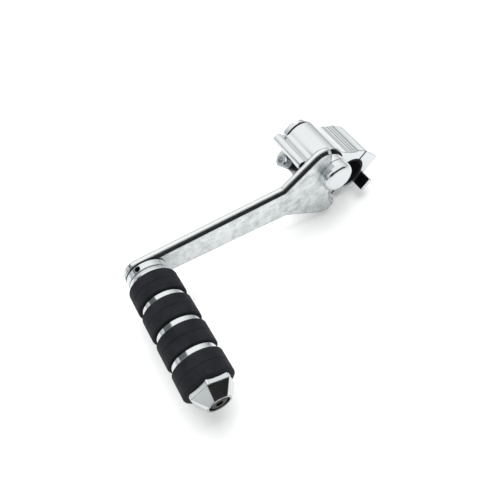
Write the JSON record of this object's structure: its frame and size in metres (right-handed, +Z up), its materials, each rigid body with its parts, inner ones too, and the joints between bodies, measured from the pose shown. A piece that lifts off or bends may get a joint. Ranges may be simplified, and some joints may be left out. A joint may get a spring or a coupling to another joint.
{
  "type": "motorcycle footpeg",
  "caption": "Highway footpeg with a ringed peg on a long flat offset arm that swivels on a two-piece bar clamp.",
  "frame": {"origin": "centre of the bar bore, half way along the clamp", "axes": "+X along the arm from the peg to the clamp, +Y along the bar bore from the peg's tip towards the clamp, +Z up"},
  "size_m": [0.2331, 0.1645, 0.0732],
  "materials": {
    "chrome": "bright chrome plating on polished metal",
    "arm_chrome": "bright chrome plating with a faint ripple on the flat faces",
    "screw_chrome": "chrome plated fasteners",
    "plated_steel": "zinc plated steel",
    "black_steel": "black oxide steel",
    "rubber": "matte moulded black rubber",
    "bronze": "plain sintered bronze"
  },
  "bodies": {
    "clamp": {"clamp_body": "chrome", "clamp_cap": "chrome", "liner_upper": "rubber", "liner_lower": "rubber", "clamp_screws": "plated_steel", "clamp_screw_washers": "plated_steel", "clamp_nuts": "black_steel", "pivot_bolt": "chrome", "far_washer": "black_steel", "slotted_nut": "screw_chrome", "friction_washer": "black_steel", "lock_screw": "screw_chrome", "lock_washer": "black_steel"},
    "arm": {"arm": "arm_chrome", "arm_bush": "bronze", "peg_collar": "chrome", "collar_set_screw": "black_steel", "peg_core": "chrome", "rubber_ring_1": "rubber", "rubber_ring_2": "rubber", "rubber_ring_3": "rubber", "rubber_ring_4": "rubber", "end_cap": "chrome", "cap_screw": "black_steel", "peg_bolt": "screw_chrome", "peg_washer": "black_steel"}
  },
  "joints": [
    {"name": "arm_pivot", "type": "hinge", "parent": "clamp", "child": "arm", "pos_m": [-0.02509, 0, 0.02339], "axis": [0, 1, 0], "range_deg": [-18, 100]}
  ]
}
